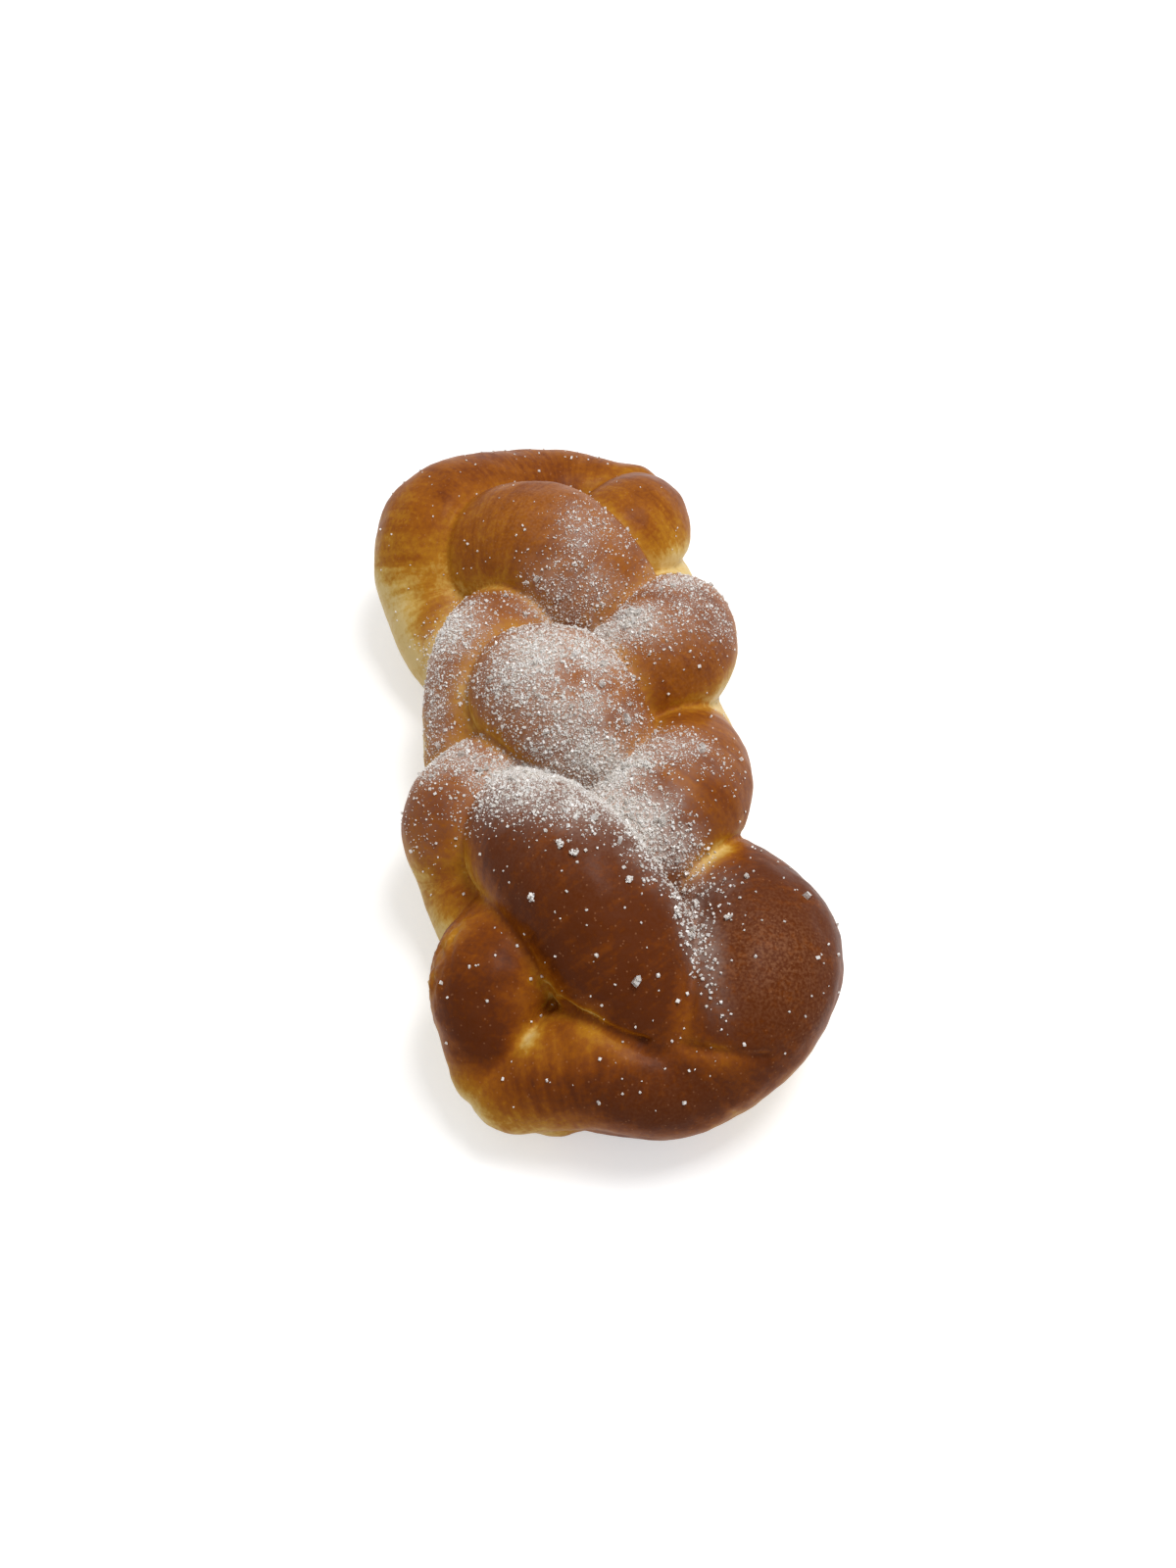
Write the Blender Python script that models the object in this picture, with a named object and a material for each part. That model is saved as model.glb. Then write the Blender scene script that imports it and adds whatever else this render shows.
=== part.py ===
"""A small braided sweet loaf: four strands of dough, plaited flat and baked into one piece.

The loaf lies along Y on its flat baked base, with the pinched near end at -Y. Each strand is a
smooth path through the plait's crossings, with its own thickness at each one. The strands swell
into each other in the oven, so one closed skin is wrapped round them all.
"""

from math import cos, pi, sin

import bmesh
import bpy
import numpy as np
from mathutils import Matrix, Vector

MM = 0.001

# The plait, from the far end to the near end. Each place is (across, along, height, radius) in
# millimetres. At each crossing one strand lies on top and one passes underneath. Left is -X and
# far is +Y. A strand that is not in the middle crossing turns round at the outside.
SIDE_TOPS = (
    ((-30.5, 73, 30, 18.5), (24.5, 70, 26, 17.5)),
    ((-20.5, 23, 28, 17), (25.5, 18, 31, 18.5)),
    ((-32.5, -25, 26, 15), (19, -31, 30, 17.5)),
    ((-30, -70, 23, 14.5), (25.5, -81, 24, 19.5)),
)
SIDE_UNDERS = (
    ((-30.5, 73, 15, 16), (23.5, 70, 15, 15)),
    ((-20.5, 23, 15, 14), (23.5, 19, 15, 15)),
    ((-24.5, -18, 19, 15.5), (15.5, -30, 15, 13)),
    ((-23.5, -75, 15, 12), (7.5, -83, 22, 16)),
)
CENTRE_TOPS = (
    (-1.5, 53, 37, 20),
    (-6.5, 0, 37, 19.5),
    (-9.5, -52, 37, 18),
)
CENTRE_UNDERS = (
    (-1.5, 53, 15, 17),
    (-6.5, 0, 15, 16),
    (-17, -51, 17, 16),
)
OUTER_TURNS = (
    ((-32.5, 54, 18, 16.5), (30.5, 51, 13, 13.5)),
    ((-25.5, 4, 19, 16), (27.5, 4, 14, 14)),
    ((-32, -36, 17, 13.5), (31.5, -68, 23, 19.5)),
)
FAR_ENDS = {
    "first": ((-22.5, 88, 13, 12),),
    "second": ((25.5, 87, 20, 15), (0.5, 92, 23, 15.5)),
    "third": ((9.5, 88, 13, 12),),
    "fourth": ((29.5, 84, 19, 14),),
}
NEAR_ENDS = {
    "first": ((-31.5, -85, 14, 10),),
    "second": ((8.5, -92, 17, 15.5), (-10, -89.5, 18, 14), (-26, -88, 12.5, 12.5)),
    "third": ((-24.5, -82, 10, 11), (-18.5, -91, 9, 10)),
    "fourth": ((14.5, -91, 15, 12),),
}

# Dough that has run together in the middle, under the centre crossings.
CORE = ((-0.5, 82, 13, 18), (-5.5, 28, 13, 19), (-5.5, -22, 13, 19), (-5.5, -72, 13, 16))

# The dough's slump: a softer foot under each strand, down to the tray.
FOOT_HEIGHT = 0.85
FOOT_THICKNESS = 0.9
FOOT_INSET = 0.97

STEPS_PER_SPAN = 10
SIDES = 28
CAP_STEPS = 4
SKIN_SIZE = 1.5 * MM
SOFTENING = 6
KEPT_FACES = 0.115
SNAP = 0.02 * MM

CRUST_COLOUR = (0.19, 0.068, 0.018, 1.0)
CRUST_ROUGHNESS = 0.42


def clear_scene():
    """Start from an empty scene."""
    for thing in list(bpy.data.objects):
        bpy.data.objects.remove(thing, do_unlink=True)


def plait_strands():
    """Follow the four strands through the plait and list the places that each one passes."""
    order = ["first", "second", "third", "fourth"]
    way = {name: list(FAR_ENDS[name]) for name in order}
    for row, (tops, unders) in enumerate(zip(SIDE_TOPS, SIDE_UNDERS)):
        way[order[1]].append(tops[0])
        way[order[0]].append(unders[0])
        way[order[3]].append(tops[1])
        way[order[2]].append(unders[1])
        order = [order[1], order[0], order[3], order[2]]
        if row < len(CENTRE_TOPS):
            way[order[1]].append(CENTRE_TOPS[row])
            way[order[2]].append(CENTRE_UNDERS[row])
            way[order[0]].append(OUTER_TURNS[row][0])
            way[order[3]].append(OUTER_TURNS[row][1])
            order = [order[0], order[2], order[1], order[3]]
    for name, places in NEAR_ENDS.items():
        way[name] += places
    return [np.array(places, float) for places in way.values()]


def smooth_path(places, steps):
    """A centripetal Catmull-Rom curve through the places, which doesn't loop or overshoot."""
    ends = (2 * places[0] - places[1], 2 * places[-1] - places[-2])
    pts = np.vstack([ends[0], places, ends[1]])
    gaps = np.linalg.norm(np.diff(pts[:, :3], axis=0), axis=1) ** 0.5
    knots = np.concatenate([[0.0], np.cumsum(gaps)])
    path = []
    for i in range(1, len(pts) - 2):
        k0, k1, k2, k3 = knots[i - 1:i + 3]
        t = np.linspace(k1, k2, steps, endpoint=False)[:, None]
        a1 = ((k1 - t) * pts[i - 1] + (t - k0) * pts[i]) / (k1 - k0)
        a2 = ((k2 - t) * pts[i] + (t - k1) * pts[i + 1]) / (k2 - k1)
        a3 = ((k3 - t) * pts[i + 1] + (t - k2) * pts[i + 2]) / (k3 - k2)
        b1 = ((k2 - t) * a1 + (t - k0) * a2) / (k2 - k0)
        b2 = ((k3 - t) * a2 + (t - k1) * a3) / (k3 - k1)
        path.append(((k2 - t) * b1 + (t - k1) * b2) / (k2 - k1))
    path.append(places[-1:])
    return np.vstack(path)


def foot_path(path):
    """The slumped dough under a strand."""
    foot = path.copy()
    foot[:, 0] *= FOOT_INSET
    foot[:, 2] = np.minimum(path[:, 2], path[:, 3] * FOOT_HEIGHT)
    foot[:, 3] *= FOOT_THICKNESS
    return foot


def ring(bm, centre, tangent, side, radius):
    """A circle of vertices round a point of the path."""
    up = tangent.cross(side).normalized()
    side = up.cross(tangent).normalized()
    verts = []
    for k in range(SIDES):
        angle = 2 * pi * k / SIDES
        verts.append(bm.verts.new(centre + radius * (cos(angle) * side + sin(angle) * up)))
    return verts, side


def add_tube(bm, path):
    """A closed tube with rounded ends along a path of (x, y, z, radius) in millimetres."""
    points = [Vector(p[:3]) * MM for p in path]
    radii = [float(p[3]) * MM for p in path]
    tangents = []
    for i in range(len(points)):
        ahead = points[min(i + 1, len(points) - 1)]
        behind = points[max(i - 1, 0)]
        tangents.append((ahead - behind).normalized())
    stations = []
    for k in range(1, CAP_STEPS + 1):
        turn = 0.5 * pi * k / (CAP_STEPS + 1)
        back = points[0] - tangents[0] * radii[0] * sin(turn)
        stations.insert(0, (back, tangents[0], radii[0] * cos(turn)))
    stations += list(zip(points, tangents, radii))
    for k in range(1, CAP_STEPS + 1):
        turn = 0.5 * pi * k / (CAP_STEPS + 1)
        front = points[-1] + tangents[-1] * radii[-1] * sin(turn)
        stations.append((front, tangents[-1], radii[-1] * cos(turn)))
    side = Vector((0.0, 0.0, 1.0)).cross(stations[0][1]).normalized()
    rings = []
    for centre, tangent, radius in stations:
        verts, side = ring(bm, centre, tangent, side, radius)
        rings.append(verts)
    for lower, upper in zip(rings, rings[1:]):
        for k in range(SIDES):
            n = (k + 1) % SIDES
            bm.faces.new((lower[k], lower[n], upper[n], upper[k]))
    bm.faces.new(list(reversed(rings[0])))
    bm.faces.new(rings[-1])


def dough_mesh():
    """All strands, their feet and the core, still overlapping, as one mesh."""
    bm = bmesh.new()
    for places in plait_strands():
        path = smooth_path(places, STEPS_PER_SPAN)
        add_tube(bm, path)
        add_tube(bm, foot_path(path))
    add_tube(bm, smooth_path(np.array(CORE, float), STEPS_PER_SPAN))
    bmesh.ops.recalc_face_normals(bm, faces=bm.faces)
    mesh = bpy.data.meshes.new("dough")
    bm.to_mesh(mesh)
    bm.free()
    return mesh


def baked_mesh(dough):
    """Wrap one skin round the dough, soften its creases and thin its faces."""
    helper = bpy.data.objects.new("dough_helper", dough)
    bpy.context.scene.collection.objects.link(helper)
    skin = helper.modifiers.new("skin", "REMESH")
    skin.mode = "VOXEL"
    skin.voxel_size = SKIN_SIZE
    soft = helper.modifiers.new("soften", "SMOOTH")
    soft.factor = 0.5
    soft.iterations = SOFTENING
    thin = helper.modifiers.new("thin", "DECIMATE")
    thin.ratio = KEPT_FACES
    graph = bpy.context.evaluated_depsgraph_get()
    mesh = bpy.data.meshes.new_from_object(helper.evaluated_get(graph))
    bpy.data.objects.remove(helper, do_unlink=True)
    return mesh


def shell_of(vert):
    """All vertices that hang together with a given one."""
    found = {vert}
    queue = [vert]
    while queue:
        for edge in queue.pop().link_edges:
            for other in edge.verts:
                if other not in found:
                    found.add(other)
                    queue.append(other)
    return found


def fill_pockets(bm):
    """Keep the outer skin only: dough fills the pockets between the strands inside."""
    outermost = max(bm.verts, key=lambda v: v.co.z)
    skin = shell_of(outermost)
    inner = [v for v in bm.verts if v not in skin]
    bmesh.ops.delete(bm, geom=inner, context="VERTS")


def cut_flat_base(mesh):
    """Cut the loaf level with the tray and close the cut with one flat face."""
    bm = bmesh.new()
    bm.from_mesh(mesh)
    everything = bm.verts[:] + bm.edges[:] + bm.faces[:]
    bmesh.ops.bisect_plane(bm, geom=everything, plane_co=(0, 0, 0), plane_no=(0, 0, 1),
                           dist=SNAP, clear_inner=True)
    rim = [edge for edge in bm.edges if edge.is_boundary]
    for base in bmesh.ops.holes_fill(bm, edges=rim, sides=0)["faces"]:
        for vert in base.verts:
            vert.co.z = 0.0
    fill_pockets(bm)
    bmesh.ops.recalc_face_normals(bm, faces=bm.faces)
    bm.to_mesh(mesh)
    bm.free()


def centre_on_base(mesh):
    """Put the origin in the middle of the base, under the loaf's bounding box."""
    corners = np.array([v.co[:] for v in mesh.vertices])
    low, high = corners.min(axis=0), corners.max(axis=0)
    shift = (-(low[0] + high[0]) / 2, -(low[1] + high[1]) / 2, -low[2])
    mesh.transform(Matrix.Translation(shift))


def crust_material():
    """Egg-washed brown crust."""
    material = bpy.data.materials.new("crust")
    material.use_nodes = True
    shader = material.node_tree.nodes["Principled BSDF"]
    shader.inputs["Base Color"].default_value = CRUST_COLOUR
    shader.inputs["Roughness"].default_value = CRUST_ROUGHNESS
    shader.inputs["Metallic"].default_value = 0.0
    return material


def build_loaf():
    """The whole loaf, one solid."""
    mesh = baked_mesh(dough_mesh())
    cut_flat_base(mesh)
    centre_on_base(mesh)
    mesh.name = "loaf"
    mesh.materials.clear()
    mesh.materials.append(crust_material())
    loaf = bpy.data.objects.new("loaf", mesh)
    bpy.context.scene.collection.objects.link(loaf)
    return loaf


clear_scene()
build_loaf()
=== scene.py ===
"""Looks of a small braided sweet loaf: four plaited strands under a brown, egg-washed crust.

The skin is wrapped round the same four strands as the part's, more finely. Every point of it
knows how far it was browned, with painted shade in one fold, how much dust and painted sheen
lie on it and how much sugar fell on it. The sugar is strewn as real grains.
Lengths are in millimetres until a mesh is made.
"""

from math import cos, pi, radians, sin

import bmesh
import bpy
import numpy as np
from mathutils import Matrix, Vector, noise

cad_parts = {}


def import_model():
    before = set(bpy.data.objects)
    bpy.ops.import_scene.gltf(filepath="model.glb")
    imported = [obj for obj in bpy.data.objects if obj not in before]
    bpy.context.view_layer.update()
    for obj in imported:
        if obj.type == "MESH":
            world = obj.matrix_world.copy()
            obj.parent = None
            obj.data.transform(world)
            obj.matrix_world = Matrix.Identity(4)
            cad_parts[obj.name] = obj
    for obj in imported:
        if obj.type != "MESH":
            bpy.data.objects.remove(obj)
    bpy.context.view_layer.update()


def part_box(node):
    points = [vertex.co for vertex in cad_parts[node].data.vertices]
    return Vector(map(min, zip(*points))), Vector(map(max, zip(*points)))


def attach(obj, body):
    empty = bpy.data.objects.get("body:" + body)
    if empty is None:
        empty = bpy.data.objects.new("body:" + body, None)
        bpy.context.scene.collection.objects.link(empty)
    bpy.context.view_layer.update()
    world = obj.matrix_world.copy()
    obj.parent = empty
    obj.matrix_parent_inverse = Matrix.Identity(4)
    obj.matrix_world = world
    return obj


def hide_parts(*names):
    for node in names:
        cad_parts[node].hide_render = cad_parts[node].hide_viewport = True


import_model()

MM = 0.001
SEED = 7

# ---- The plait: (across, along, height, radius), from the far end to the near end, left is -X ----

SIDE_TOPS = (
    ((-30.5, 73, 30, 18.5), (24.5, 70, 26, 17.5)),
    ((-20.5, 23, 28, 17), (25.5, 18, 31, 18.5)),
    ((-32.5, -25, 26, 15), (19, -31, 30, 17.5)),
    ((-30, -70, 23, 14.5), (25.5, -81, 24, 19.5)),
)
SIDE_UNDERS = (
    ((-30.5, 73, 15, 16), (23.5, 70, 15, 15)),
    ((-20.5, 23, 15, 14), (23.5, 19, 15, 15)),
    ((-24.5, -18, 19, 15.5), (15.5, -30, 15, 13)),
    ((-23.5, -75, 15, 12), (7.5, -83, 22, 16)),
)
CENTRE_TOPS = (
    (-1.5, 53, 37, 20),
    (-6.5, 0, 37, 19.5),
    (-9.5, -52, 37, 18),
)
CENTRE_UNDERS = (
    (-1.5, 53, 15, 17),
    (-6.5, 0, 15, 16),
    (-17, -51, 17, 16),
)
OUTER_TURNS = (
    ((-32.5, 54, 18, 16.5), (30.5, 51, 13, 13.5)),
    ((-25.5, 4, 19, 16), (27.5, 4, 14, 14)),
    ((-32, -36, 17, 13.5), (31.5, -68, 23, 19.5)),
)
FAR_ENDS = {
    "first": ((-22.5, 88, 13, 12),),
    "second": ((25.5, 87, 20, 15), (0.5, 92, 23, 15.5)),
    "third": ((9.5, 88, 13, 12),),
    "fourth": ((29.5, 84, 19, 14),),
}
NEAR_ENDS = {
    "first": ((-31.5, -85, 14, 10),),
    "second": ((8.5, -92, 17, 15.5), (-10, -89.5, 18, 14), (-26, -88, 12.5, 12.5)),
    "third": ((-24.5, -82, 10, 11), (-18.5, -91, 9, 10)),
    "fourth": ((14.5, -91, 15, 12),),
}

# Dough that has run together in the middle, under the centre crossings
CORE = ((-0.5, 82, 13, 18), (-5.5, 28, 13, 19), (-5.5, -22, 13, 19), (-5.5, -72, 13, 16))

# The dough's slump: a softer foot under each strand, down to the tray
FOOT_HEIGHT = 0.85
FOOT_THICKNESS = 0.9
FOOT_INSET = 0.97

STEPS_PER_SPAN = 24
SIDES = 56
CAP_STEPS = 8
SKIN_SIZE = 0.9 * MM
SOFTENING = 5
SNAP = 0.02 * MM
BASE_MATERIAL = 1

# Swellings of the whole skin, fading out by the tray: (height, width, offset of the pattern)
SKIN_LUMPS = ((0.5, 16.0, 0.0), (0.18, 5.0, 3.0))
LUMP_FALLOFF = 0.8
LUMP_STEP = 2.0
TRAY_EDGE = 4.0

# A strand's own dough within this length of a place is no neighbour of it
OWN_LENGTH = 34
NO_NEIGHBOUR = 1e3

# Places worked on at a time, to save memory
BATCH = 8000

# Lengths along one strand are told apart from the next strand's by this much
STRAND_SPACING = 400.0

# Streaks fade out between these gaps to the next strand
CREASE_EDGE = (0.5, 5.0)

# ---- Camera, light and floor: metres and degrees, but millimetres for the lens and sensor ----

CAMERA_AZIMUTH = -8.0
CAMERA_ELEVATION = 54.0
CAMERA_DISTANCE = 0.305
CAMERA_AIM = (-0.001, -0.0211, 0.030)
CAMERA_LENS = 28.125
CAMERA_SENSOR = 36.0
CAMERA_NEAREST = 0.01

SKY_STRENGTH = 0.5
LAMP_AZIMUTH = 110.0
LAMP_ELEVATION = 72.0
LAMP_DISTANCE = 0.75
LAMP_SIZE = 0.28
LAMP_WATTS = 3.5

WHITE = (1, 1, 1, 1)
FLOOR_TONE = (0.8, 0.8, 0.8, 1)
FLOOR_ROUGHNESS = 0.9
FLOOR_HALF = 3.0
FLOOR_DROP = 0.0002

# The floor glows a little, less so right round the loaf
FLOOR_GLOW = 0.64
NEAR_GLOW_CHANGE = -0.2

# ---- Looks ----


def srgb(red, green, blue):
    """A colour as seen, 0 to 255, turned to the linear values that a shader takes."""
    values = []
    for part in (red, green, blue):
        part /= 255.0
        values.append(part / 12.92 if part <= 0.04045 else ((part + 0.055) / 1.055) ** 2.4)
    return (*values, 1.0)


CRUST_STAGES = (
    (0.00, srgb(222, 194, 130)),
    (0.16, srgb(206, 166, 82)),
    (0.34, srgb(178, 119, 26)),
    (0.56, srgb(150, 84, 12)),
    (0.78, srgb(120, 58, 4)),
    (1.00, srgb(90, 38, 1)),
)
# Pale tan of the dust, of the painted sheen on the lobe tops, and of the pores
CRUST_DUST_AND_SHEEN = srgb(188, 132, 92)
SUGAR_VEIL = srgb(234, 218, 208)
SUGAR_STAGES = ((0.3, srgb(224, 216, 206)), (0.7, srgb(252, 250, 248)))
BASE_STAGES = ((0.3, srgb(176, 124, 66)), (0.7, srgb(128, 76, 36)))

# Patterns in the crust: (factor, offset) that turn a noise of 0 to 1 into a change
BAKE_PATCHES = (0.36, -0.18)
BAKE_MOTTLE = (0.44, -0.22)
DUST_AND_SHEEN_DOTS = (3.2, -1.25)
VEIL_MOTTLE = (1.8, -0.2)
CRUST_GLOSS = (0.3, 0.22)
STREAK_SCALE = (0.55, 1.1)
STREAK_STRENGTH = 0.5
PORE_SIZE = 0.13
PORE_STRENGTH = 0.25
VEIL_CURVE = 0.8
VEIL_STRENGTH = 0.9
CRUST_SPECULAR = 0.045
RELIEF_STRENGTH = 0.12
RELIEF_DEPTH = 0.0004
BASE_ROUGHNESS = 0.75
SUGAR_ROUGHNESS = 0.25
WHITE_SUGAR_CLEAR = 0.08
CRYSTAL_CLEAR = 0.5

# Browning: where each smooth rise starts and ends
BROWN_HEIGHT = (8.0, 30.0)
BROWN_FACING = (-0.35, 0.55)
TUCKED_GAP = (0.3, 6.0)
HIDDEN_DROP = (-2.0, 8.0)
FAR_PART = (-20.0, 87.0)
MIDDLE_PART = (-62.0, -22.0)

# Browning: how much each of them counts
BROWN_LEAST = 0.10
BROWN_GAIN = 0.78
FLANK_SHARE = 0.35
TOP_SHARE = 0.65
TOP_GAIN = 0.12
FAR_PALER = 0.12
MIDDLE_PALER = 0.38
TUCKED_PALER = 0.13
HIDDEN_PALER = 0.15

# Uneven browning: (strength, width, offset of the pattern)
BROWN_LUMPS = ((0.07, 22.0, 0.0), (0.03, 6.0, 9.0))

# Places that baked paler or darker, and painted shade along the fold under the near centre lobe:
# (across, along, up, reach, change)
BAKE_AND_SHADE_SPOTS = (
    (-48, 58, 22, 15, -0.5),
    (-44, 40, 16, 15, -0.5),
    (-40, 49, 31, 8, -0.12),
    (-40, 8, 14, 13, -0.4),
    (36, 55, 27, 10, -0.45),
    (40, 3, 20, 12, -0.5),
    (24, -48, 37, 7, -0.25),
    (20, -54, 35, 5, -0.35),
    (27, -49, 33, 5, -0.4),
    (-40, -43, 26, 9, -0.3),
    (-44, -36, 28, 8, -0.15),
    (-42, -56, 20, 7, -0.55),
    (-42, -66, 17, 7, -0.45),
    (-39, -62, 33, 5, -0.5),
    (-42, -70, 28, 5, -0.4),
    (-33, -57, 32, 5, -0.2),
    (-27, -81, 33, 6, -0.28),
    (-23, -86, 27, 4, -0.5),
    (-12, -88, 30, 10, -0.32),
    (-3, -93, 31, 9, -0.28),
    (-21, -91, 28, 9, -0.22),
    (7, -96, 31, 8, -0.12),
    (-34, -60, 35, 6, -0.18),
    (-29, -69, 36, 6, -0.1),
    (-22, -76, 33, 6.5, -0.32),
    (-32, -74, 37, 8, 0.04),
    # Painted shade: darker spots along the fold where the near centre lobe overhangs the front
    # strand, in its shadow
    (-12, -83, 32, 3.5, 0.15),
    (-5, -88.5, 33, 3.5, 0.28),
    (1, -92, 33, 3, 0.3),
    (-31, -86, 29, 7, 0.12),
    (10, -82, 41, 4, -0.22),
    (10, -88, 38, 4, -0.22),
    (20, -101, 32, 6, -0.2),
    (-2, -88, 29, 7, -0.12),
    (-30, -95, 8, 10, -0.02),
    (-20, -103, 3, 14, 0.25),
    (9, -95, 34, 4, -0.25),
    (15, -99, 34, 5, -0.35),
    (-22, -38, 46, 16, 0.18),
    (-4, -64, 50, 21, 0.13),
    (34, -88, 38, 18, 0.1),
    (2, -104, 20, 16, 0.14),
    (6, -103, 5, 20, 0.42),
    (-8, -103, 6, 12, 0.25),
    (-32, -70, 36, 13, -0.08),
    (-16, 84, 40, 26, 0.12),
    (2, 90, 36, 14, 0.1),
    (-29, -81, 33, 9, 0.2),
    (4, -80, 46, 12, 0.16),
    (-14, -44, 50, 14, 0.06),
    (4, -97, 31, 8, 0.3),
    (36, -78, 36, 12, 0.08),
    (-31, -44, 39, 7, -0.28),
    (30, 80, 36, 10, 0.14),
    (31, 20, 47, 13, 0.2),
    (6, 46, 55, 14, 0.1),
    (24, 82, 34, 12, 0.08),
    (-28, -54, 41, 6, -0.14),
    (7, -104, 27, 3, 0.25),
    (30, -69, 43, 1.2, 0.7),
)

# Faint dust on the crust, with painted sheen on the lobe tops where light glances off them: (across,
# along, up, reach, strength)
DUST_AND_SHEEN = (
    (31, -80, 43, 15, 0.24),
    (38, -90, 34, 11, 0.14),
    (-8, -44, 54, 20, 0.08),
    (4, -103, 26, 15, 0.05),
    (2, 55, 55, 22, 0.22),
    (-8, 5, 55, 24, 0.3),
    (30, 20, 45, 22, 0.22),
    (-34, 15, 40, 22, 0.26),
)

# Places where the dough swelled a little more: (across, along, up, reach, swell)
SWELLS = (
    (-27, -60, 38, 8, 1.8),
    (-21, -70, 36, 7, 1.5),
    (38, -92, 20, 15, 1.6),
    (-28, -97, 10, 10, 1.2),
)

# Folds pressed into the crust: (from, to, width, depth)
FOLDS = (
    ((9, -95, 34), (17, -98, 35), 1.5, 1.5),
    ((17, -98, 35), (26, -99.5, 33), 1.3, 1.0),
    ((-37, -62, 33), (-33, -54, 30), 1.2, 1.0),
    ((-15, -80, 31), (-9, -85.5, 33), 1.3, 1.8),
    ((-9, -85.5, 33), (1, -92.5, 33), 1.2, 2.2),
    ((-33, -57, 33), (-17, -77, 31), 1.0, 0.8),
)
CREASE_WIDTH = 1.3
CREASE_DEPTH = 0.6
FOLDED_FROM = (0.5, 4.0)

# Torn crumb: (across, along, up, reach)
TORN = ((-39, -62, 32, 6), (-41, -69, 27, 6))
TORN_EDGE = 0.05
TORN_DEPTH = 0.9
TORN_WIDTH = 2.4

# Drifts of sugar: (across, along, half length, half width, turn in degrees, thickness). A
# thickness of about 1 just covers the crust
SUGAR_DRIFTS = (
    (-14, -25, 19, 6, -20, 1.5),
    (6, -39, 17, 7, -57, 1.4),
    (2, -24, 12, 5, -25, 1.4),
    (-14, -36, 17, 8, -35, 0.6),
    (7, -47, 12, 7, -57, 0.5),
    (-12, -46, 17, 9, -40, 0.035),
    (15.5, -66, 14, 3, -85, 0.7),
    (-11, -1, 10, 12, 0, 0.95),
    (2, 2, 8, 10, 0, 0.7),
    (-2, -13, 13, 7, -20, 0.6),
    (11, 16, 12, 6, -10, 1.0),
    (8, 43, 9, 10, 0, 0.2),
    (0, 30, 14, 7, 0, 0.3),
    (30, 30, 10, 7, 0, 0.35),
    (32, 18, 10, 8, 0, 0.25),
    (-30, 26, 8, 10, 0, 0.65),
    (-36, 9, 7, 11, 0, 0.35),
    (-34, -14, 8, 7, 0, 0.4),
    (-43, -31, 7, 9, 0, 0.05),
    (18, -24, 10, 6, -20, 0.45),
)
SUGAR_EVERYWHERE = 0.004
DRIFT_LEVEL = 0.75
DRIFT_PATCHES = 0.6
DRIFT_PATCH_WIDTH = 9.0

# Sugar holds on the crust where it faces upwards: nowhere at the first value of the normal's
# upward part, and fully from the second
SUGAR_HOLDS = (0.0, 0.6)

# From the near end to the middle, in millimetres along the loaf
NEAR_TO_MIDDLE = (-75.0, -25.0)

# A grain is a block, or a chip with four faces for the smallest: corners in grain sizes, faces
BLOCK = (
    [(x, y, z) for x in (-0.5, 0.5) for y in (-0.5, 0.5) for z in (-0.5, 0.5)],
    [(0, 1, 3, 2), (4, 6, 7, 5), (0, 4, 5, 1), (2, 3, 7, 6), (0, 2, 6, 4), (1, 5, 7, 3)],
)
CHIP = (
    [(0.5, 0.5, 0.5), (0.5, -0.5, -0.5), (-0.5, 0.5, -0.5), (-0.5, -0.5, 0.5)],
    [(0, 1, 2), (0, 3, 1), (0, 2, 3), (1, 3, 2)],
)

# Kinds of sugar: grains for each square millimetre at full cover, smallest and largest size,
# shape, the cover under which none lies, its share at the near end and that share's change by
# the middle
SUGAR_KINDS = {
    "sugar_dust": (17.0, 0.16, 0.32, CHIP, 0.008, 0.15, 0.85),
    "sugar_fine": (3.0, 0.28, 0.46, BLOCK, 0.0, 1.0, 0.0),
    "sugar_grains": (0.9, 0.45, 0.72, BLOCK, 0.0, 2.2, -1.4),
    "sugar_crystals": (0.05, 0.8, 1.5, BLOCK, 0.0, 2.2, -1.4),
}

# Faces larger than this, in square millimetres, belong to the base
LARGEST_CRUST_FACE = 20

GRAIN_STRETCH = (0.55, 1.15)
GRAIN_UNEVENNESS = 0.09
GRAINS_MOSTLY_SMALL = 1.6
GRAIN_SCATTER = 1.2
GRAIN_RAISED = 0.3

# Clumps of sugar that stuck together: (across, along)
SUGAR_CLUMPS = ((-12, -54), (-9, -57), (2, -63), (-19, -63), (23, -70), (12, -68))
CLUMP_GRAINS = 20
CLUMP_SIZES = (0.25, 0.65)
CLUMP_SPREAD = (0.4, 0.4, 0.25)
CLUMP_RAISED = 0.4
TOO_STEEP = 0.2


# ---- Strands ----


def plait_strands():
    """Follow the four strands through the plait and list the places that each one passes."""
    order = ["first", "second", "third", "fourth"]
    way = {name: list(FAR_ENDS[name]) for name in order}
    for row, (tops, unders) in enumerate(zip(SIDE_TOPS, SIDE_UNDERS)):
        way[order[1]].append(tops[0])
        way[order[0]].append(unders[0])
        way[order[3]].append(tops[1])
        way[order[2]].append(unders[1])
        order = [order[1], order[0], order[3], order[2]]
        if row < len(CENTRE_TOPS):
            way[order[1]].append(CENTRE_TOPS[row])
            way[order[2]].append(CENTRE_UNDERS[row])
            way[order[0]].append(OUTER_TURNS[row][0])
            way[order[3]].append(OUTER_TURNS[row][1])
            order = [order[0], order[2], order[1], order[3]]
    for name, places in NEAR_ENDS.items():
        way[name] += places
    return [np.array(places, float) for places in way.values()]


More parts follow.
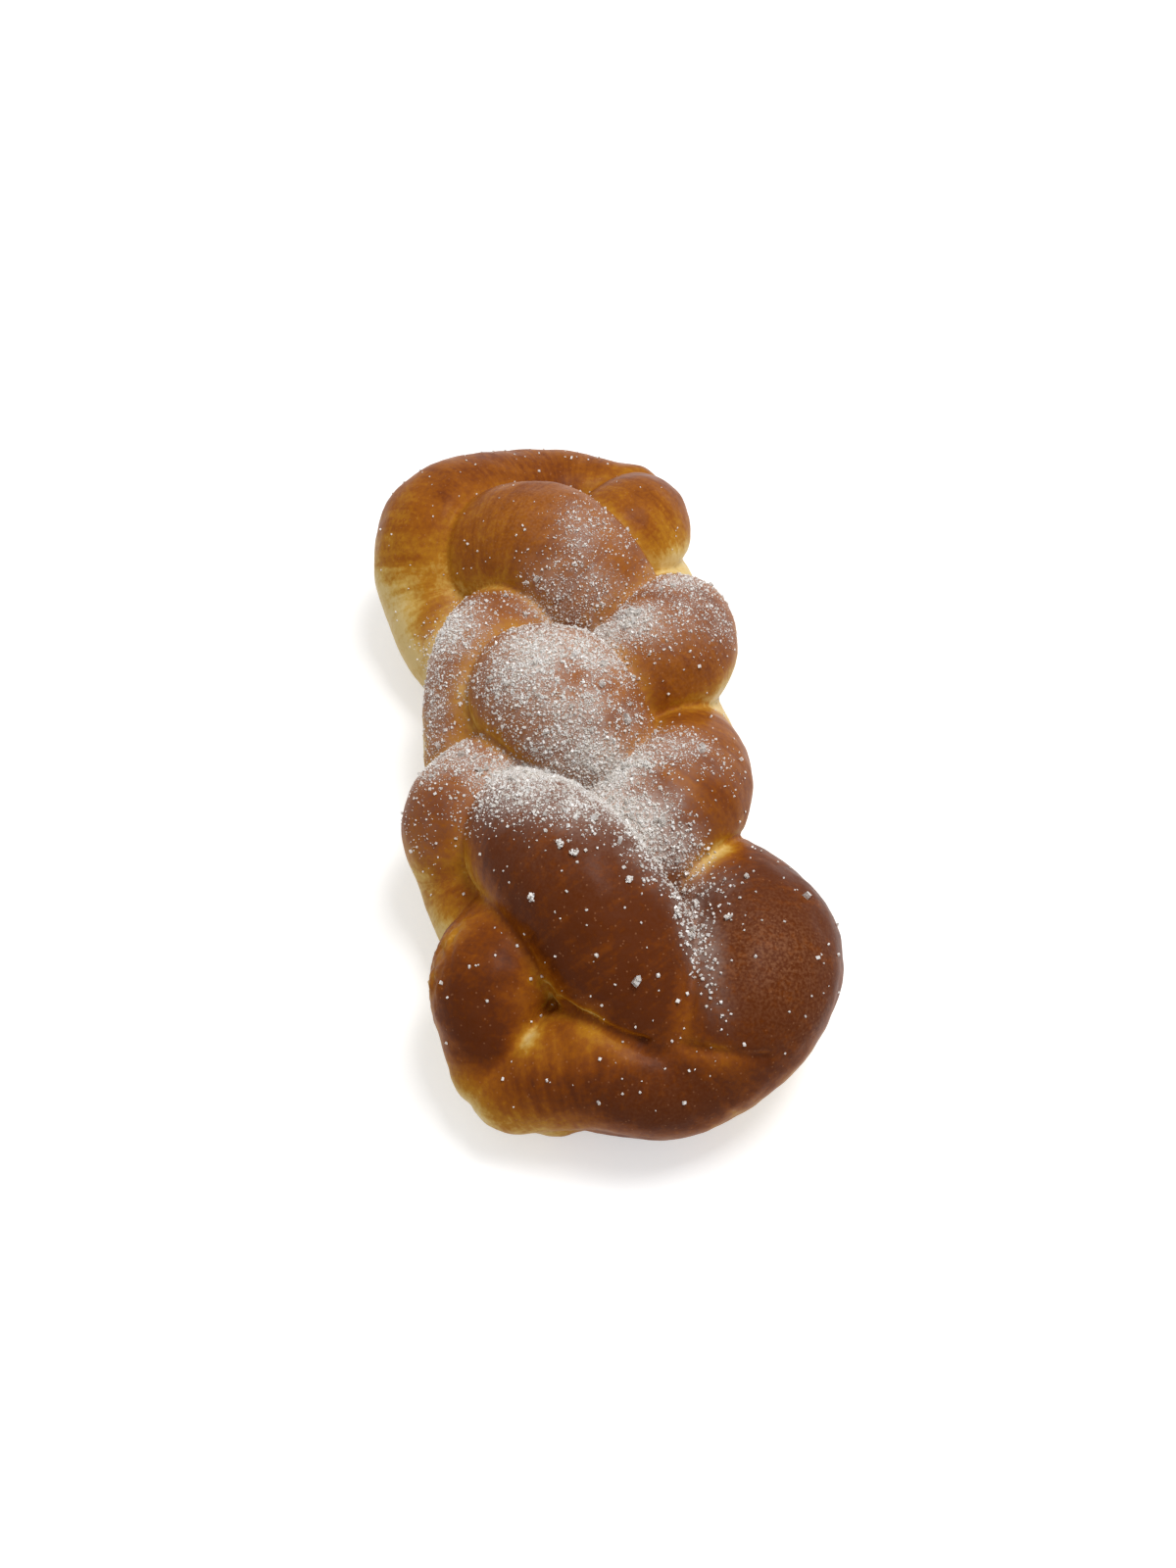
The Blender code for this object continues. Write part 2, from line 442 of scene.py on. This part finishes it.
def smooth_path(places):
    """A centripetal Catmull-Rom curve through the places, which doesn't loop or overshoot."""
    ends = (2 * places[0] - places[1], 2 * places[-1] - places[-2])
    pts = np.vstack([ends[0], places, ends[1]])
    gaps = np.linalg.norm(np.diff(pts[:, :3], axis=0), axis=1) ** 0.5
    knots = np.concatenate([[0.0], np.cumsum(gaps)])
    path = []
    for i in range(1, len(pts) - 2):
        k0, k1, k2, k3 = knots[i - 1:i + 3]
        t = np.linspace(k1, k2, STEPS_PER_SPAN, endpoint=False)[:, None]
        a1 = ((k1 - t) * pts[i - 1] + (t - k0) * pts[i]) / (k1 - k0)
        a2 = ((k2 - t) * pts[i] + (t - k1) * pts[i + 1]) / (k2 - k1)
        a3 = ((k3 - t) * pts[i + 1] + (t - k2) * pts[i + 2]) / (k3 - k2)
        b1 = ((k2 - t) * a1 + (t - k0) * a2) / (k2 - k0)
        b2 = ((k3 - t) * a2 + (t - k1) * a3) / (k3 - k1)
        path.append(((k2 - t) * b1 + (t - k1) * b2) / (k2 - k1))
    path.append(places[-1:])
    return np.vstack(path)


def foot_path(path):
    """The slumped dough under a strand."""
    foot = path.copy()
    foot[:, 0] *= FOOT_INSET
    foot[:, 2] = np.minimum(path[:, 2], path[:, 3] * FOOT_HEIGHT)
    foot[:, 3] *= FOOT_THICKNESS
    return foot


def rounded_end(point, tangent, radius, outward):
    """Stations of a tube's round end, from its rim towards its tip."""
    turns = [0.5 * pi * k / (CAP_STEPS + 1) for k in range(1, CAP_STEPS + 1)]
    return [(point + outward * tangent * radius * sin(t), tangent, radius * cos(t)) for t in turns]


def tube(path):
    """Vertices and faces of a closed tube with rounded ends along a path."""
    points, radii = path[:, :3], path[:, 3]
    tangents = np.gradient(points, axis=0)
    tangents /= np.linalg.norm(tangents, axis=1)[:, None]
    stations = rounded_end(points[0], tangents[0], radii[0], -1)[::-1]
    stations += list(zip(points, tangents, radii))
    stations += rounded_end(points[-1], tangents[-1], radii[-1], 1)
    angles = 2 * pi * np.arange(SIDES) / SIDES
    side = np.cross((0.0, 0.0, 1.0), stations[0][1])
    verts = []
    for centre, tangent, radius in stations:
        up = np.cross(tangent, side)
        up /= np.linalg.norm(up)
        side = np.cross(up, tangent)
        spokes = np.cos(angles)[:, None] * side + np.sin(angles)[:, None] * up
        verts.append(centre + radius * spokes)
    faces = []
    for i in range(len(stations) - 1):
        for k in range(SIDES):
            n = (k + 1) % SIDES
            low, high = i * SIDES, (i + 1) * SIDES
            faces.append((low + k, low + n, high + n, high + k))
    faces.append(tuple(reversed(range(SIDES))))
    faces.append(tuple(range(len(stations) * SIDES - SIDES, len(stations) * SIDES)))
    return np.vstack(verts), faces


# ---- The loaf's skin ----


def dough_mesh(paths):
    """All strands, their feet and the core, still overlapping, as one mesh."""
    verts, faces = [], []
    count = 0
    for path in paths:
        tube_verts, tube_faces = tube(path)
        verts.append(tube_verts)
        faces += [tuple(i + count for i in face) for face in tube_faces]
        count += len(tube_verts)
    mesh = bpy.data.meshes.new("dough")
    mesh.from_pydata((np.vstack(verts) * MM).tolist(), [], faces)
    return mesh


def wrapped(mesh):
    """Wrap one fine skin round the dough and soften its creases."""
    helper = bpy.data.objects.new("dough_helper", mesh)
    bpy.context.scene.collection.objects.link(helper)
    skin = helper.modifiers.new("skin", "REMESH")
    skin.mode = "VOXEL"
    skin.voxel_size = SKIN_SIZE
    soft = helper.modifiers.new("soften", "SMOOTH")
    soft.factor = 0.5
    soft.iterations = SOFTENING
    graph = bpy.context.evaluated_depsgraph_get()
    result = bpy.data.meshes.new_from_object(helper.evaluated_get(graph))
    bpy.data.objects.remove(helper, do_unlink=True)
    return result


def shell_of(vert):
    """All vertices that hang together with a given one."""
    found = {vert}
    queue = [vert]
    while queue:
        for edge in queue.pop().link_edges:
            for other in edge.verts:
                if other not in found:
                    found.add(other)
                    queue.append(other)
    return found


def cut_flat_base(mesh):
    """Cut the loaf level with the tray, close the cut and keep the outer skin only."""
    bm = bmesh.new()
    bm.from_mesh(mesh)
    everything = bm.verts[:] + bm.edges[:] + bm.faces[:]
    bmesh.ops.bisect_plane(bm, geom=everything, plane_co=(0, 0, 0), plane_no=(0, 0, 1),
                           dist=SNAP, clear_inner=True)
    rim = [edge for edge in bm.edges if edge.is_boundary]
    for base in bmesh.ops.holes_fill(bm, edges=rim, sides=0)["faces"]:
        base.material_index = BASE_MATERIAL
    skin = shell_of(max(bm.verts, key=lambda v: v.co.z))
    inner = [v for v in bm.verts if v not in skin]
    bmesh.ops.delete(bm, geom=inner, context="VERTS")
    bmesh.ops.recalc_face_normals(bm, faces=bm.faces)
    bm.to_mesh(mesh)
    bm.free()


def positions(mesh):
    """The mesh's vertices as an array in millimetres."""
    flat = np.empty(len(mesh.vertices) * 3, dtype=np.float32)
    mesh.vertices.foreach_get("co", flat)
    return flat.reshape(-1, 3).astype(float) / MM


def set_positions(mesh, places):
    """Put the vertices at new places, given in millimetres."""
    mesh.vertices.foreach_set("co", (places * MM).astype(np.float32).ravel())
    mesh.update()


def normals(mesh):
    """The mesh's vertex normals as an array."""
    flat = np.empty(len(mesh.vertices) * 3, dtype=np.float32)
    mesh.vertex_normals.foreach_get("vector", flat)
    return flat.reshape(-1, 3).astype(float)


def ease(values, low, high):
    """0 below low, 1 above high and a smooth rise between them."""
    t = np.clip((values - low) / (high - low), 0.0, 1.0)
    return t * t * (3 - 2 * t)


def lumps(places, size, octaves=2, offset=0.0):
    """Soft noise from -1 to 1 at each place, with features of a given size in millimetres."""
    shift = Vector((offset, offset * 0.7, -offset))
    points = [Vector(place) + shift for place in places / size]
    return np.array([noise.fractal(p, LUMP_FALLOFF, LUMP_STEP, octaves) for p in points])


def lumpy(places, strength, width, offset):
    """Soft noise of a given strength."""
    return strength * lumps(places, width, offset=offset)


def closeness(places, across, along, up, reach):
    """1 at a spot, falling smoothly to nearly 0 at twice its reach."""
    away = ((places - (across, along, up)) ** 2).sum(1)
    return np.exp(-away / reach ** 2)


def length_along(path):
    """How far along the path each of its points is."""
    steps = np.linalg.norm(np.diff(path[:, :3], axis=0), axis=1)
    return np.concatenate([[0], np.cumsum(steps)])


def nearest_strands(places, paths):
    """For each place: its strand, how far along and round it, and the gap to the next strand.

    The gap is 0 in a crease. on_top is how much higher the place's own strand lies than the
    strand beyond the crease.
    """
    centres = np.vstack([p[:, :3] for p in paths])
    radii = np.concatenate([p[:, 3] for p in paths])
    along = np.concatenate([length_along(p) for p in paths])
    which = np.concatenate([[i] * len(p) for i, p in enumerate(paths)])
    tangents = np.vstack([np.gradient(p[:, :3], axis=0) for p in paths])
    tangents /= np.linalg.norm(tangents, axis=1)[:, None]
    strand = np.empty(len(places), int)
    run = np.empty(len(places))
    turn = np.empty(len(places))
    gap = np.empty(len(places))
    on_top = np.empty(len(places))
    for start in range(0, len(places), BATCH):
        block = slice(start, start + BATCH)
        spots = places[block]
        squares = (spots ** 2).sum(1)[:, None] + (centres ** 2).sum(1)[None]
        squares = squares - 2 * spots @ centres.T
        depth = np.sqrt(np.maximum(squares, 0)) - radii
        best = depth.argmin(1)
        rows = np.arange(len(spots))
        out = spots - centres[best]
        strand[block] = which[best]
        run[block] = along[best] + (out * tangents[best]).sum(1)
        level = np.cross(tangents[best], (0.0, 0.0, 1.0))
        level /= np.linalg.norm(level, axis=1)[:, None]
        upright = np.cross(level, tangents[best])
        turn[block] = np.arctan2((out * level).sum(1), (out * upright).sum(1))
        close = np.abs(along[None] - along[best][:, None]) < OWN_LENGTH
        own = (which[None] == which[best][:, None]) & close
        others = np.where(own, NO_NEIGHBOUR, depth)
        second = others.argmin(1)
        gap[block] = others[rows, second] - depth[rows, best]
        on_top[block] = centres[best, 2] - centres[second, 2]
    return {"strand": strand, "run": run, "turn": turn, "gap": gap, "on_top": on_top}


def browning_and_shade(places, normal, near):
    """How far each place was browned, 0 for pale dough to 1 for the darkest crust, with painted
    shade darkening the fold under the near centre lobe.
    """
    height = ease(places[:, 2], *BROWN_HEIGHT)
    facing = ease(normal[:, 2], *BROWN_FACING)
    tucked = 1 - ease(near["gap"], *TUCKED_GAP)
    below = ease(-near["on_top"], *HIDDEN_DROP)
    far = ease(places[:, 1], *FAR_PART)
    middle = ease(places[:, 1], *MIDDLE_PART)
    brown = BROWN_LEAST + BROWN_GAIN * (FLANK_SHARE * height + TOP_SHARE * height * facing)
    brown += TOP_GAIN * facing * height - (FAR_PALER * far + MIDDLE_PALER * middle) * brown
    brown -= tucked * (TUCKED_PALER + HIDDEN_PALER * below)
    # The spots include painted shade along the fold under the near centre lobe
    for *spot, change in BAKE_AND_SHADE_SPOTS:
        brown += change * closeness(places, *spot)
    brown += sum(lumpy(places, *pattern) for pattern in BROWN_LUMPS)
    return np.clip(brown, 0.0, 1.0)


def sugar_cover(places, normal):
    """Share of the crust that sugar covers at each place, from 0 to about 1."""
    cover = np.zeros(len(places))
    for across, along, length, width, turn, thickness in SUGAR_DRIFTS:
        dx, dy = places[:, 0] - across, places[:, 1] - along
        u = dx * cos(radians(turn)) + dy * sin(radians(turn))
        v = -dx * sin(radians(turn)) + dy * cos(radians(turn))
        cover = np.maximum(cover, thickness * np.exp(-(u / length) ** 2 - (v / width) ** 2))
    patchy = DRIFT_LEVEL + DRIFT_PATCHES * lumps(places, DRIFT_PATCH_WIDTH, 3, offset=5.0)
    cover = np.clip(cover * patchy, 0, 1) + SUGAR_EVERYWHERE
    return cover * ease(normal[:, 2], *SUGAR_HOLDS)


def dust_and_sheen(places):
    """How strongly faint dust and painted sheen lie on each place."""
    veil = np.zeros(len(places))
    for *spot, strength in DUST_AND_SHEEN:
        veil = np.maximum(veil, strength * closeness(places, *spot))
    return veil


def folded(places, normal, near):
    """Press the creases and folds in, and roughen the torn crumb."""
    depth = CREASE_DEPTH * np.exp(-(near["gap"] / CREASE_WIDTH) ** 2)
    for *spot, swell in SWELLS:
        depth -= swell * closeness(places, *spot)
    for start, end, width, press in FOLDS:
        line = np.subtract(end, start).astype(float)
        share = np.clip((places - start) @ line / (line @ line), 0, 1)
        away = np.linalg.norm(places - start - share[:, None] * line, axis=1)
        depth = np.maximum(depth, press * np.exp(-(away / width) ** 2))
    rough = np.zeros(len(places))
    for spot in TORN:
        rough = np.maximum(rough, closeness(places, *spot))
    torn = np.where(rough > TORN_EDGE)[0]
    depth[torn] += TORN_DEPTH * rough[torn] * lumps(places[torn], TORN_WIDTH, 3, offset=7.0)
    above = ease(places[:, 2], *FOLDED_FROM)
    return places - normal * (depth * above)[:, None]


def store(mesh, name, values):
    """Keep one number for each vertex, for the shader to read."""
    layer = mesh.attributes.new(name, "FLOAT", "POINT")
    layer.data.foreach_set("value", np.asarray(values, dtype=np.float32))


def build_loaf():
    """The loaf's detailed skin, in the frame's place."""
    strands = [smooth_path(places) for places in plait_strands()]
    feet = [foot_path(path) for path in strands]
    core = smooth_path(np.array(CORE, float))
    mesh = wrapped(dough_mesh(strands + feet + [core]))
    mesh.materials.clear()
    mesh.materials.append(crust_material())
    mesh.materials.append(base_material())
    cut_flat_base(mesh)
    places = positions(mesh)
    normal = normals(mesh)
    above = ease(places[:, 2], 0.0, TRAY_EDGE)
    swell = sum(lumpy(places, *pattern) for pattern in SKIN_LUMPS)
    places += normal * (swell * above)[:, None]
    near = nearest_strands(places, strands)
    places = folded(places, normal, near)
    set_positions(mesh, places)
    normal = normals(mesh)
    store(mesh, "bake_and_shade", browning_and_shade(places, normal, near))
    store(mesh, "sugar", sugar_cover(places, normal))
    store(mesh, "dust_and_sheen", dust_and_sheen(places))
    store(mesh, "run", near["run"] + STRAND_SPACING * near["strand"])
    store(mesh, "turn", near["turn"])
    store(mesh, "gap", ease(near["gap"], *CREASE_EDGE))
    low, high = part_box("loaf")
    centre = (places.min(axis=0) + places.max(axis=0)) / 2
    shift = np.array([(low[0] + high[0]) / 2, (low[1] + high[1]) / 2, low[2]]) / MM
    shift -= (centre[0], centre[1], places[:, 2].min())
    mesh.transform(Matrix.Translation(shift * MM))
    mesh.shade_smooth()
    loaf = bpy.data.objects.new("loaf_crust", mesh)
    bpy.context.scene.collection.objects.link(loaf)
    return loaf


# ---- Sugar ----


def face_samples(mesh):
    """Middle, normal, area in square millimetres and sugar cover of every face.

    The base, one very large face, has no sugar.
    """
    count = len(mesh.polygons)
    centre, normal = np.empty(count * 3), np.empty(count * 3)
    area = np.empty(count)
    mesh.polygons.foreach_get("center", centre)
    mesh.polygons.foreach_get("normal", normal)
    mesh.polygons.foreach_get("area", area)
    cover = np.empty(len(mesh.vertices), dtype=np.float32)
    mesh.attributes["sugar"].data.foreach_get("value", cover)
    first = np.empty(count, dtype=np.int32)
    corners = np.empty(len(mesh.loops), dtype=np.int32)
    mesh.polygons.foreach_get("loop_start", first)
    mesh.loops.foreach_get("vertex_index", corners)
    share = cover[corners[first]]
    area /= MM * MM
    share[area > LARGEST_CRUST_FACE] = 0.0
    return centre.reshape(-1, 3) / MM, normal.reshape(-1, 3), area, share


def random_turns(rng, count):
    """Random rotations as 3 x 3 matrices."""
    q = rng.normal(size=(count, 4))
    q /= np.linalg.norm(q, axis=1)[:, None]
    w, x, y, z = q.T
    rows = (
        (1 - 2 * (y * y + z * z), 2 * (x * y - z * w), 2 * (x * z + y * w)),
        (2 * (x * y + z * w), 1 - 2 * (x * x + z * z), 2 * (y * z - x * w)),
        (2 * (x * z - y * w), 2 * (y * z + x * w), 1 - 2 * (x * x + y * y)),
    )
    return np.stack([np.stack(row, -1) for row in rows], 1)


def grain_mesh(name, rng, spots, sizes, shape=BLOCK):
    """One mesh of many small, uneven sugar grains, each at its spot."""
    corners, sides = np.array(shape[0]), np.array(shape[1])
    count = len(spots)
    stretch = rng.uniform(*GRAIN_STRETCH, (count, 1, 3))
    chips = rng.normal(0, GRAIN_UNEVENNESS, (count, len(corners), 3))
    grains = (corners[None] * stretch + chips) * sizes[:, None, None]
    grains = np.einsum("nij,nkj->nki", random_turns(rng, count), grains) + spots[:, None]
    verts = grains.reshape(-1, 3) * MM
    faces = np.arange(count)[:, None, None] * len(corners) + sides[None]
    mesh = bpy.data.meshes.new(name)
    mesh.from_pydata(verts.tolist(), [], faces.reshape(-1, sides.shape[1]).tolist())
    return mesh


def strewn(name, rng, samples):
    """Sugar of one kind, strewn over the crust as its cover says."""
    centre, normal, area, share = samples
    density, small, large, shape, least, near_share, change = SUGAR_KINDS[name]
    inward = ease(centre[:, 1], *NEAR_TO_MIDDLE)
    share = np.maximum(share - least, 0.0) * (near_share + change * inward)
    wanted = area * share * density
    count = int(wanted.sum())
    chosen = rng.choice(len(area), count, p=wanted / wanted.sum())
    sizes = small + (large - small) * rng.random(count) ** GRAINS_MOSTLY_SMALL
    spread = rng.uniform(-0.5, 0.5, (count, 3))
    spread -= normal[chosen] * (spread * normal[chosen]).sum(1)[:, None]
    spots = centre[chosen] + spread * np.sqrt(area[chosen])[:, None] * GRAIN_SCATTER
    spots += normal[chosen] * (sizes * GRAIN_RAISED)[:, None]
    return grain_mesh(name, rng, spots, sizes, shape)


def clumps(rng, samples):
    """White lumps of sugar that stuck together."""
    centre, normal, _, _ = samples
    spots, sizes = [], []
    for across, along in SUGAR_CLUMPS:
        away = (centre[:, 0] - across) ** 2 + (centre[:, 1] - along) ** 2
        away[normal[:, 2] < TOO_STEEP] = np.inf
        here = away.argmin()
        grains = rng.normal(0, CLUMP_SPREAD, (CLUMP_GRAINS, 3))
        spots.append(centre[here] + normal[here] * CLUMP_RAISED + grains)
        sizes.append(rng.uniform(*CLUMP_SIZES, CLUMP_GRAINS))
    return grain_mesh("sugar_clumps", rng, np.vstack(spots), np.concatenate(sizes))


def build_sugar(loaf):
    """All the sugar on the loaf, one piece for each kind."""
    rng = np.random.default_rng(SEED)
    samples = face_samples(loaf.data)
    meshes = [strewn(name, rng, samples) for name in SUGAR_KINDS]
    meshes.append(clumps(rng, samples))
    white = sugar_material("sugar", WHITE_SUGAR_CLEAR)
    clear = sugar_material("sugar_clear", CRYSTAL_CLEAR)
    pieces = []
    for mesh in meshes:
        mesh.materials.append(clear if mesh.name == "sugar_crystals" else white)
        piece = bpy.data.objects.new(mesh.name, mesh)
        bpy.context.scene.collection.objects.link(piece)
        pieces.append(piece)
    return pieces


# ---- Materials ----


class Nodes:
    """A short way to add and join the nodes of a material."""

    def __init__(self, name):
        self.material = bpy.data.materials.new(name)
        self.material.use_nodes = True
        self.tree = self.material.node_tree
        self.shader = self.tree.nodes["Principled BSDF"]

    def add(self, kind, inputs=None, **settings):
        """A node, with its settings, and with its inputs set or joined."""
        node = self.tree.nodes.new(kind)
        for name, value in settings.items():
            setattr(node, name, value)
        for name, value in (inputs or {}).items():
            self.join(value, node.inputs[name])
        return node

    def join(self, value, socket):
        """Link an output to a socket, or set the socket's own value."""
        if isinstance(value, bpy.types.NodeSocket):
            self.tree.links.new(value, socket)
        else:
            socket.default_value = value

    def number(self, name):
        """A number that is kept at each vertex."""
        return self.add("ShaderNodeAttribute", attribute_name=name).outputs["Fac"]

    def math(self, operation, first, second=0.0, third=0.0, clamp=False):
        """One sum."""
        inputs = {0: first, 1: second, 2: third}
        node = self.add("ShaderNodeMath", inputs, operation=operation, use_clamp=clamp)
        return node.outputs[0]

    def texture(self, kind, place, **inputs):
        """A pattern of a kind, worked out at each place."""
        return self.add("ShaderNodeTex" + kind, {"Vector": place, **inputs})

    def along_strand(self, run_scale, turn_scale):
        """Coordinates that follow the strands, for streaks that run round them."""
        run = self.math("MULTIPLY", self.number("run"), run_scale)
        turn = self.math("MULTIPLY", self.number("turn"), turn_scale)
        return self.add("ShaderNodeCombineXYZ", {0: run, 1: turn}).outputs[0]

    def mix(self, share, first, second):
        """One colour blended into another."""
        node = self.add("ShaderNodeMix", {0: share, 6: first, 7: second}, data_type="RGBA")
        return node.outputs[2]

    def ramp(self, value, stages):
        """A colour that changes by stages."""
        node = self.add("ShaderNodeValToRGB", {"Fac": value})
        stops = node.color_ramp.elements
        while len(stops) < len(stages):
            stops.new(0.5)
        for stop, (place, colour) in zip(stops, stages):
            stop.position = place
            stop.color = colour
        return node.outputs["Color"]


def crust_material():
    """Egg-washed crust: browned in patches with painted shade and sheen, dusty, softly and unevenly
    glossy, with fine pores.
    """
    n = Nodes("crust")
    place = n.add("ShaderNodeTexCoord").outputs["Object"]
    patches = n.texture("Noise", place, Scale=90.0, Detail=5.0, Roughness=0.6).outputs["Fac"]
    mottle = n.texture("Noise", place, Scale=700.0, Detail=3.0, Roughness=0.6).outputs["Fac"]
    streaks = n.texture("Noise", n.along_strand(*STREAK_SCALE), Scale=1.0, Detail=3.0).outputs["Fac"]
    pores = n.texture("Voronoi", place, Scale=620.0).outputs["Distance"]
    dots = n.texture("Noise", place, Scale=1500.0, Detail=1.0).outputs["Fac"]
    grain = n.texture("Noise", place, Scale=1400.0, Detail=2.0).outputs["Fac"]

    streaks = n.math("MULTIPLY", n.math("SUBTRACT", streaks, 0.5), n.number("gap"))
    bake_and_shade = n.math("MULTIPLY_ADD", patches, *BAKE_PATCHES)
    bake_and_shade = n.math("ADD", bake_and_shade, n.math("MULTIPLY", streaks, STREAK_STRENGTH))
    bake_and_shade = n.math("ADD", bake_and_shade, n.number("bake_and_shade"))
    bake_and_shade = n.math("ADD", bake_and_shade, n.math("MULTIPLY_ADD", mottle, *BAKE_MOTTLE), clamp=True)

    pores = n.math("MULTIPLY", n.math("LESS_THAN", pores, PORE_SIZE), PORE_STRENGTH)
    # Specks of dust and of painted sheen, and the pores, mixed in as one pale tan
    dots = n.math("MINIMUM", n.math("MULTIPLY_ADD", dots, *DUST_AND_SHEEN_DOTS), 1.0)
    dots = n.math("MULTIPLY", dots, n.number("dust_and_sheen"), clamp=True)
    crust = n.mix(n.math("MAXIMUM", pores, dots), n.ramp(bake_and_shade, CRUST_STAGES), CRUST_DUST_AND_SHEEN)

    veil = n.math("MULTIPLY_ADD", mottle, *VEIL_MOTTLE)
    veil = n.math("MULTIPLY", veil, n.math("POWER", n.number("sugar"), VEIL_CURVE), clamp=True)
    colour = n.mix(n.math("MULTIPLY", veil, VEIL_STRENGTH), crust, SUGAR_VEIL)
    n.join(colour, n.shader.inputs["Base Color"])

    gloss = n.math("MULTIPLY_ADD", patches, *CRUST_GLOSS)
    n.join(gloss, n.shader.inputs["Roughness"])
    n.join(CRUST_SPECULAR, n.shader.inputs["Specular IOR Level"])
    relief = {"Height": grain, "Strength": RELIEF_STRENGTH, "Distance": RELIEF_DEPTH}
    bump = n.add("ShaderNodeBump", relief)
    n.join(bump.outputs["Normal"], n.shader.inputs["Normal"])
    return n.material


def sugar_material(name, clear):
    """White sugar that lets a little light through, or clearer for the large crystals."""
    n = Nodes(name)
    place = n.add("ShaderNodeTexCoord").outputs["Object"]
    tone = n.texture("Noise", place, Scale=900.0, Detail=1.0).outputs["Fac"]
    n.join(n.ramp(tone, SUGAR_STAGES), n.shader.inputs["Base Color"])
    n.join(SUGAR_ROUGHNESS, n.shader.inputs["Roughness"])
    n.join(clear, n.shader.inputs["Transmission Weight"])
    return n.material


def base_material():
    """The dry baked underside, mottled from the tray."""
    n = Nodes("baked_base")
    place = n.add("ShaderNodeTexCoord").outputs["Object"]
    patches = n.texture("Noise", place, Scale=70.0, Detail=6.0, Roughness=0.65).outputs["Fac"]
    n.join(n.ramp(patches, BASE_STAGES), n.shader.inputs["Base Color"])
    n.join(BASE_ROUGHNESS, n.shader.inputs["Roughness"])
    return n.material


# ---- Camera, light and floor ----


def aimed(data, aim, azimuth, elevation, distance):
    """A camera or lamp that faces its aim from a distance, round from the near end and above."""
    turn, rise = radians(azimuth), radians(elevation)
    back = Vector((sin(turn) * cos(rise), -cos(turn) * cos(rise), sin(rise)))
    item = bpy.data.objects.new(data.name, data)
    item.location = Vector(aim) + distance * back
    item.rotation_euler = back.to_track_quat("Z", "Y").to_euler()
    bpy.context.scene.collection.objects.link(item)
    return item


def camera():
    """The camera looks down on the loaf from its near end."""
    data = bpy.data.cameras.new("camera")
    data.lens = CAMERA_LENS
    data.sensor_width = CAMERA_SENSOR
    data.clip_start = CAMERA_NEAREST
    item = aimed(data, CAMERA_AIM, CAMERA_AZIMUTH, CAMERA_ELEVATION, CAMERA_DISTANCE)
    bpy.context.scene.camera = item


def lamp():
    """A soft square lamp, high on the right."""
    data = bpy.data.lights.new("key", "AREA")
    data.shape = "SQUARE"
    data.size = LAMP_SIZE
    data.energy = LAMP_WATTS
    aimed(data, (0, 0, 0), LAMP_AZIMUTH, LAMP_ELEVATION, LAMP_DISTANCE)


def seen_rays(tree):
    """1 for rays that see the backdrop itself: straight, in a reflection or through a thing."""
    path = tree.nodes.new("ShaderNodeLightPath")
    seen = path.outputs["Is Camera Ray"]
    for kind in ("Is Glossy Ray", "Is Transmission Ray"):
        either = tree.nodes.new("ShaderNodeMath")
        either.operation = "MAXIMUM"
        tree.links.new(seen, either.inputs[0])
        tree.links.new(path.outputs[kind], either.inputs[1])
        seen = either.outputs[0]
    return seen


def world():
    """Even white light from all round, and a white background."""
    sky = bpy.data.worlds.new("studio")
    sky.use_nodes = True
    tree = sky.node_tree
    background = tree.nodes["Background"]
    background.inputs["Color"].default_value = WHITE
    level = tree.nodes.new("ShaderNodeMath")
    level.operation = "MULTIPLY_ADD"
    level.inputs[1].default_value = 1.0 - SKY_STRENGTH
    level.inputs[2].default_value = SKY_STRENGTH
    tree.links.new(seen_rays(tree), level.inputs[0])
    tree.links.new(level.outputs[0], background.inputs["Strength"])
    bpy.context.scene.world = sky


def floor():
    """A plain white floor that keeps the loaf's soft shadow and glows more further away."""
    half = FLOOR_HALF
    corners = [(-half, -half, 0), (half, -half, 0), (half, half, 0), (-half, half, 0)]
    mesh = bpy.data.meshes.new("floor")
    mesh.from_pydata(corners, [], [(0, 1, 2, 3)])
    item = bpy.data.objects.new("floor", mesh)
    item.location.z = -FLOOR_DROP
    n = Nodes("floor_white")
    n.join(FLOOR_TONE, n.shader.inputs["Base Color"])
    n.join(FLOOR_ROUGHNESS, n.shader.inputs["Roughness"])
    n.join(WHITE, n.shader.inputs["Emission Color"])
    place = n.add("ShaderNodeTexCoord").outputs["Object"]
    near = n.texture("Gradient", place)
    near.gradient_type = "SPHERICAL"
    glow = n.math("MULTIPLY_ADD", near.outputs["Fac"], NEAR_GLOW_CHANGE, FLOOR_GLOW)
    n.join(n.math("MULTIPLY", seen_rays(n.tree), glow), n.shader.inputs["Emission Strength"])
    mesh.materials.append(n.material)
    bpy.context.scene.collection.objects.link(item)


# ---- The scene ----

body = "root"

camera()
world()
lamp()
floor()

loaf = build_loaf()
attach(loaf, body)
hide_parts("loaf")

for piece in build_sugar(loaf):
    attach(piece, body)

bpy.context.scene.view_settings.view_transform = "Standard"
